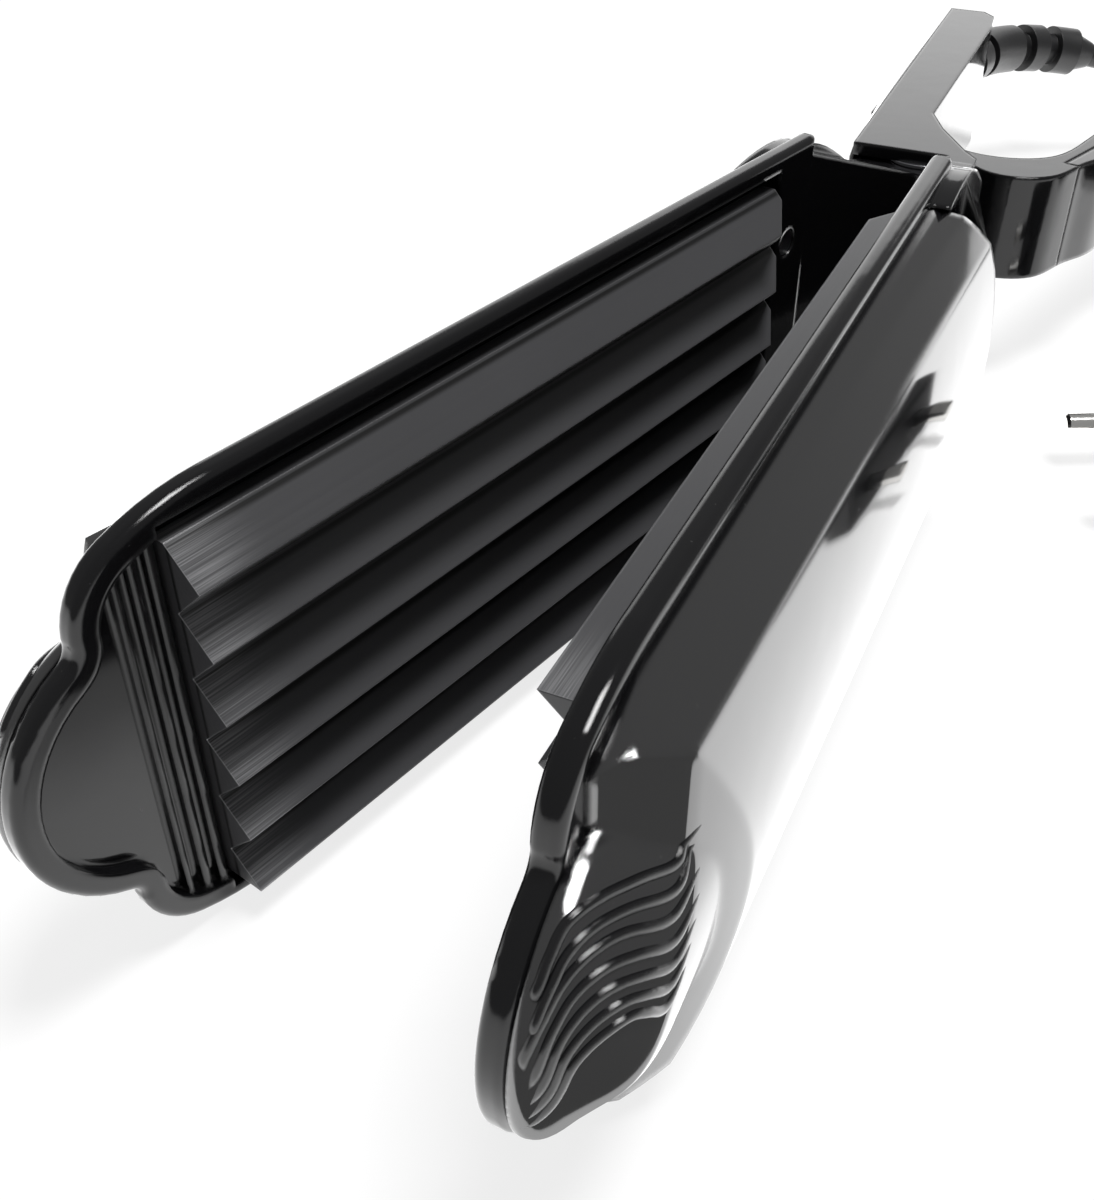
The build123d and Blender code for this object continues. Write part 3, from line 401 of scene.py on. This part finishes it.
def jawPlace(graph, side):  # millimetres along the jaw, behind the plate plane and up
    point = graph.add("ShaderNodeTexCoord", output="Object")
    ways = (jawWay(side), backWay(side), Vector((0, 0, 1)))
    along, back, up = (point.dot(way[:]) * 1000 - pivotShift.dot(way) for way in ways)
    return along, back - side * platePlane, up


def softNose(graph, side, normal, settings):  # turns the shading up beyond a crease on the nose
    along, depth, up = jawPlace(graph, side)
    start, level = settings["creaseAt"]
    crease = up.combined("MAXIMUM", level - up, 0) * settings["creaseSlope"] + start
    share = (along - crease).above(0, settings["creaseWidth"])
    share = share * depth.above(*settings["liftBehind"])
    kind = "ShaderNodeVectorMath"
    lift = graph.add(kind, {"operation": "SCALE"}, {0: (0, 0, settings["lift"]), "Scale": share})
    lifted = graph.add(kind, {"operation": "ADD"}, {0: normal, 1: lift})
    return graph.add(kind, {"operation": "NORMALIZE"}, {0: lifted})


surfaceSettings = {
    "hazeScale": 34,
    "hazeRoughness": 0.04,
    "dustScale": 1500,
    "dustFrom": (0.8, 0.03),
    "dustShare": 0.2,
    "dustColour": (0.09, 0.09, 0.09, 1),
    "dustRoughness": 0.15,
    "rippleHeight": 0.001,
}


def glossPlastic(name, settings):  # polished moulding: faint ripple, uneven haze, a little dust
    graph = Graph(name)
    common = surfaceSettings
    haze = graph.noise(common["hazeScale"], 3)
    ripple = graph.noise(settings["rippleScale"], 2)
    dust = graph.noise(common["dustScale"], 1).above(*common["dustFrom"])
    tint = graph.blendColour(dust * common["dustShare"], settings["colour"], common["dustColour"])
    rounded = graph.roundedEdges(settings["edge"])
    if "side" in settings:
        rounded = softNose(graph, settings["side"], rounded, settings)
    normal = graph.bump(ripple, settings["ripple"], common["rippleHeight"], rounded)
    rough = settings["roughness"] + haze * common["hazeRoughness"] + dust * common["dustRoughness"]
    inputs = {"Base Color": tint, "Roughness": rough, "Normal": normal}
    inputs |= {"IOR": settings["index"], "Specular IOR Level": settings["mirror"]}
    return graph.principled(inputs)


grainSettings = {
    "lighter": 1.3,
    "lift": 0.003,
    "coarse": 0.6,
    "cloudSize": 20,
    "edge": 0.2,
    "bump": 0.25,
    "spread": 0.1,
}


def mattFinish(name, settings):  # plain moulded, drawn or rubber surface with a fine grain
    graph = Graph(name)
    common = grainSettings
    colour = (*settings["colour"], 1)
    light = (*(min(1, part * common["lighter"] + common["lift"]) for part in settings["colour"]), 1)
    grain = graph.noise(settings["grain"], 3, common["coarse"])
    cloud = graph.noise(settings["grain"] / common["cloudSize"], 2)
    tint = graph.blendColour(cloud, colour, light)
    rounded = graph.roundedEdges(common["edge"])
    normal = graph.bump(grain, common["bump"], settings["depth"] / 1000, rounded)
    rough = settings["roughness"] - common["spread"] / 2 + grain * common["spread"]
    inputs = {"Base Color": tint, "Roughness": rough, "Normal": normal}
    return graph.principled(inputs | {"Metallic": settings["metal"]})


plateSettings = {
    "coat": (0.036, 0.036, 0.038, 1),
    "coatLight": (0.05, 0.05, 0.053, 1),
    "cloudScale": 28,
    # painted shade: near black laid into the valleys of the plate teeth
    "valleyShade": (0.002, 0.002, 0.002, 1),
    "valleyShadeFrom": (1.75, 0.5),
    "valleyShadeFloor": (2.2, 0.15),
    "floorShare": 0.7,
    "lineScales": ((0.025, 1.9), (0.045, 5.2)),
    "lineHeight": 0.0002,
    "tip": 172.0,
    # painted highlight: light grey metallic colour for the sheen near the nose tip, also used for
    # the lighter edges
    "sheenAndEdges": (0.42, 0.42, 0.43, 1),
    "sheenReach": 12,
    "sheenLines": (0.55, 0.35),
    "paintedSheen": (0.12, 0.75),
    "paintedSheenShare": 0.5,
    "edgeLightening": (0.12, 0.25),
    "sheenAndEdgesMetal": 0.9,
    "roughness": 0.33,
    "cloudRoughness": 0.06,
    "lineRoughness": 0.05,
    "sheenAndEdgesPolish": 0.05,
    "lineBump": 0.08,
    "edge": 0.3,
    "edgeFrom": (0.06, 0.1),
    "endFrom": (0.5, 0.2),
    "index": 1.45,
    "mirror": 0.35,
}


def plateFinish(name, side, settings):  # satin coat with fine lines, painted shade in the valleys and a painted highlight near the nose
    graph = Graph(name)
    along, depth, up = jawPlace(graph, side)
    drawn, fine = (
        graph.add("ShaderNodeCombineXYZ", inputs={0: along * long, 1: depth * short, 2: up * short})
        for long, short in settings["lineScales"]
    )
    lines = graph.noise(1, 2, 0.5, drawn)
    streakNoise = graph.noise(1, 3, 0.7, fine)
    cloud = graph.noise(settings["cloudScale"], 3)
    rounded = graph.roundedEdges(settings["edge"])
    facing = graph.add("ShaderNodeNewGeometry", output="Normal")
    edges = (1 - rounded.dot(facing)).above(*settings["edgeFrom"])
    nearTip = along.above(settings["tip"] - settings["sheenReach"] / 2, settings["sheenReach"])
    # painted shade: surface deep in a valley is darkened, a little less along the valley floor
    valleyShade = depth.above(*settings["valleyShadeFrom"])
    valleyShade = valleyShade - depth.above(*settings["valleyShadeFloor"]) * settings["floorShare"]
    # painted highlight: streaky light grey sheen that grows towards the nose tip
    least, streaks = settings["paintedSheen"]
    paintedSheen = nearTip * nearTip * (least + streaks * streakNoise.above(*settings["sheenLines"]))
    # edges painted lighter and more metallic, more so near the nose tip
    least, more = settings["edgeLightening"]
    edgeLightening = edges * (least + more * nearTip)
    endways = graph.add("ShaderNodeTexCoord", output="Normal").dot(jawWay(side)[:])
    ends = abs(endways).above(*settings["endFrom"])
    # painted highlight near the tip together with the lighter edges, kept off the end faces
    sheenAndEdges = (paintedSheen * settings["paintedSheenShare"] + edgeLightening) * (1 - ends)
    coat = graph.blendColour(cloud, settings["coat"], settings["coatLight"])
    coat = graph.blendColour(valleyShade, coat, settings["valleyShade"])
    colour = graph.blendColour(sheenAndEdges, coat, settings["sheenAndEdges"])
    rough = settings["roughness"] + cloud * settings["cloudRoughness"]
    rough = rough + lines * settings["lineRoughness"] - sheenAndEdges * settings["sheenAndEdgesPolish"]
    normal = graph.bump(lines, settings["lineBump"], settings["lineHeight"], rounded)
    inputs = {"Base Color": colour, "Roughness": rough, "Normal": normal}
    inputs |= {"Metallic": sheenAndEdges * settings["sheenAndEdgesMetal"]}
    inputs |= {"IOR": settings["index"], "Specular IOR Level": settings["mirror"]}
    return graph.principled(inputs)


coverSettings = {
    "colour": (0.0045, 0.0045, 0.005, 1),
    "roughness": 0.05,
    "ripple": 0.04,
    "rippleScale": 45,
    "edge": 1.8,
    "index": 2.1,
    "mirror": 0.5,
    "creaseAt": (173, 10),
    "creaseSlope": 0.8,
    "creaseWidth": 2.5,
    "liftBehind": (6.5, 3),
}
glossSettings = {
    "glossCoverCordArm": {**coverSettings, "side": 1, "lift": 0.8},
    "glossCoverPlainArm": {**coverSettings, "side": -1, "lift": 0.0},
    "glossFrame": {
        "colour": (0.005, 0.005, 0.0055, 1),
        "roughness": 0.07,
        "ripple": 0.05,
        "rippleScale": 90,
        "edge": 1.0,
        "index": 1.5,
        "mirror": 0.32,
    },
    "glossHandle": {
        "colour": (0.0045, 0.0045, 0.005, 1),
        "roughness": 0.05,
        "ripple": 0.04,
        "rippleScale": 60,
        "edge": 1.2,
        "index": 1.5,
        "mirror": 0.5,
    },
}
mattKeys = ("colour", "roughness", "grain", "depth", "metal")
mattSettings = {
    "heat_plastic": ((0.02, 0.02, 0.02), 0.55, 900, 0.1, 0),
    "heater_foil": ((0.5, 0.32, 0.1), 0.3, 300, 0.1, 0.5),
    "spring_steel": ((0.5, 0.5, 0.52), 0.25, 800, 0.05, 1),
    "screw_steel": ((0.38, 0.38, 0.4), 0.3, 900, 0.05, 1),
    "pin_steel": ((0.45, 0.45, 0.46), 0.22, 900, 0.05, 1),
    "fuse_metal": ((0.6, 0.6, 0.6), 0.35, 900, 0.05, 1),
    "lead_sleeve": ((0.5, 0.5, 0.47), 0.5, 1500, 0.1, 0),
    "switch_black": ((0.012, 0.012, 0.012), 0.4, 1500, 0.1, 0),
    "lamp_clear": ((0.42, 0.03, 0.02), 0.08, 200, 0.02, 0),
    "board_green": ((0.03, 0.14, 0.05), 0.35, 400, 0.05, 0),
    "clamp_plastic": ((0.22, 0.22, 0.22), 0.5, 900, 0.1, 0),
    "cord_rubber": ((0.005, 0.005, 0.0055), 0.42, 1600, 0.12, 0),
    "pin_nickel": ((0.7, 0.69, 0.67), 0.12, 600, 0.03, 1),
    "sleeve_plastic": ((0.012, 0.012, 0.012), 0.4, 1500, 0.08, 0),
}
finishes = {name: mattFinish(name, dict(zip(mattKeys, row))) for name, row in mattSettings.items()}
glosses = {name: glossPlastic(name, settings) for name, settings in glossSettings.items()}
plateSides = {"cord_arm_plate": 1, "plain_arm_plate": -1}
plates = {name: plateFinish(name, side, plateSettings) for name, side in plateSides.items()}


def finishOf(name, slot):
    if name in plates:
        return plates[name]
    if slot != "gloss_black":
        return finishes[slot]
    if "jaw_cover" in name:
        return glosses["glossCoverCordArm" if "cord_arm" in name else "glossCoverPlainArm"]
    return glosses["glossFrame" if "frame" in name else "glossHandle"]


for entry in frame["record"]["subparts"]:
    node = frame["nodes"][entry["node"]]
    material = finishOf(entry["node"], entry["material_slot"])
    if not node.data.materials:
        node.data.materials.append(material)
    for slot in node.material_slots:
        slot.material = material
for piece in (cord, *ties):
    piece.data.materials.append(finishes["cord_rubber"])
print("finishes set")

# Grip ribs on the shoulders, along the outer skin from the broad part to the rim of the nose

ribSettings = {
    "radius": 0.55,
    "sunk": 0.15,
    "steps": 6,
    "outside": 30,
    "endWidth": 0.3,
    "widening": 0.15,
    "first": (
        (171.8, 12.9), (174.7, 11.0), (179.7, 13.0), (184.0, 14.3),
        (187.1, 14.4), (189.7, 12.9), (191.9, 10.8), (192.4, 10.0),
    ),
    "third": (
        (172.8, 8.6), (178.8, 8.8), (183.7, 11.1), (187.2, 11.5),
        (190.4, 10.6), (192.9, 8.4), (194.6, 5.9), (195.1, 4.2),
    ),
    "last": (
        (177.8, 1.1), (182.6, 1.3), (185.2, 3.6), (187.2, 5.0),
        (189.8, 4.6), (192.1, 2.7), (193.5, -0.8), (195.3, -4.1),
    ),
}


def mixedRoute(first, second, share):
    pairs = zip(first, second)
    return [tuple(a + (b - a) * share for a, b in zip(one, other)) for one, other in pairs]


def smoothRoute(line, steps):  # passes through the given spots without corners
    spots = [Vector(spot) for spot in (line[0], *line, line[-1])]
    route = []
    for k in range(len(line) - 1):
        before, start, end, after = spots[k:k + 4]
        for m in range(steps):
            t = m / steps
            bend = (2 * before - 5 * start + 4 * end - after) * t
            bend += (3 * start - before - 3 * end + after) * t * t
            route.append(start + (end - before + bend) * t / 2)
    return [*route, spots[-1]]


def makeRibs(side, settings):
    body = "cord_arm" if side > 0 else "plain_arm"
    node = frame["nodes"][f"{body}_jaw_cover"]
    corners = [node.matrix_world @ vertex.co for vertex in node.data.vertices]
    skin = BVHTree.FromPolygons(corners, [polygon.vertices[:] for polygon in node.data.polygons])
    third = settings["third"]
    lines = [settings["first"], mixedRoute(settings["first"], third, 0.5)]
    lines += [mixedRoute(third, settings["last"], share) for share in (0, 0.25, 0.5, 0.75, 1)]
    routes = []
    for line in lines:
        route = []
        for x, z in smoothRoute(line, settings["steps"]):
            start = onArm(side, x, settings["outside"], z)
            spot, normal, _, _ = skin.ray_cast(start, -backWay(side))
            if spot:
                route.append(spot - normal * (settings["sunk"] / 1000))
        routes.append(route)
    for k, route in enumerate(routes):
        last = len(route) - 1
        grow = [settings["widening"] * min(m, last - m) for m in range(last + 1)]
        widths = [min(1, settings["endWidth"] + wider) for wider in grow]
        piece = makeCurve(f"{body}_rib_{k + 1}", route, settings["radius"], 4, widths)
        piece.data.resolution_u = 2
        piece.data.materials.append(glosses["glossHandle"])
        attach(piece, body)


for side in (1, -1):
    makeRibs(side, ribSettings)
print("grip ribs made")

# Floor, backdrop and light


floorSettings = {
    "cloudScale": 3,
    "colour": (0.92, 0.92, 0.925, 1),
    "colourLight": (0.94, 0.94, 0.94, 1),
    "glow": 1,
    "glowSeen": 0.8,
    "reach": 4.0,
    "level": -0.0002,
}


def makeFloor(settings):  # sheet lit by the lights, mostly glowing white for the camera
    graph = Graph("floor")
    cloud = graph.noise(settings["cloudScale"], 2)
    tone = graph.blendColour(cloud, settings["colour"], settings["colourLight"])
    lit = graph.add("ShaderNodeBsdfDiffuse", inputs={"Color": tone})
    white = {"Color": (1, 1, 1, 1), "Strength": settings["glow"]}
    glow = graph.add("ShaderNodeEmission", inputs=white)
    bright = graph.add("ShaderNodeAddShader", inputs={0: lit, 1: glow})
    glossy, through, seen = (
        graph.add("ShaderNodeLightPath", output=ray)
        for ray in ("Is Glossy Ray", "Is Transmission Ray", "Is Camera Ray")
    )
    mirrored = glossy + through
    plain = graph.add("ShaderNodeMixShader", inputs={"Fac": mirrored, 1: lit, 2: bright})
    inputs = {"Fac": seen * settings["glowSeen"], 1: plain, 2: glow}
    material = graph.surface(graph.add("ShaderNodeMixShader", inputs=inputs))
    reach = settings["reach"]
    signs = ((-1, -1), (1, -1), (1, 1), (-1, 1))
    corners = [(a * reach, b * reach, settings["level"]) for a, b in signs]
    mesh = bpy.data.meshes.new("floor")
    mesh.from_pydata(corners, [], [(0, 1, 2, 3)])
    mesh.materials.append(material)
    floor = bpy.data.objects.new("floor", mesh)
    bpy.context.scene.collection.objects.link(floor)


lightSettings = {
    "keySoftbox": {"from": (-0.2, 0.3, 1.6), "at": (0, 0, 0), "size": (0.5, 0.5), "power": 30},
    "lowPanel": {"from": (-1.7, -0.8, 0.5), "at": (0, 0, 0), "size": (2.4, 0.8), "power": 10},
}


def makeLight(name, settings):
    data = bpy.data.lights.new(name, "AREA")
    data.shape = "RECTANGLE"
    data.size, data.size_y = settings["size"]
    data.energy = settings["power"]
    light = bpy.data.objects.new(name, data)
    bpy.context.scene.collection.objects.link(light)
    light.location = Vector(settings["from"])
    aim = Vector(settings["at"]) - light.location
    light.rotation_euler = aim.to_track_quat("-Z", "Y").to_euler()


def makeBackdrop(strength):  # white for the camera, with this strength as light
    world = bpy.data.worlds.new("studio")
    world.use_nodes = True
    tree = world.node_tree
    tree.nodes.clear()
    lit, seen = (tree.nodes.new("ShaderNodeBackground") for _ in range(2))
    for shader, level in ((lit, strength), (seen, 1)):
        shader.inputs["Color"].default_value = (1, 1, 1, 1)
        shader.inputs["Strength"].default_value = level
    kinds = ("ShaderNodeMixShader", "ShaderNodeLightPath", "ShaderNodeOutputWorld")
    mix, path, output = (tree.nodes.new(kind) for kind in kinds)
    tree.links.new(path.outputs["Is Camera Ray"], mix.inputs[0])
    tree.links.new(lit.outputs[0], mix.inputs[1])
    tree.links.new(seen.outputs[0], mix.inputs[2])
    tree.links.new(mix.outputs[0], output.inputs["Surface"])
    bpy.context.scene.world = world


makeFloor(floorSettings)
for name, settings in lightSettings.items():
    makeLight(name, settings)
makeBackdrop(0.3)
print("floor and light made")
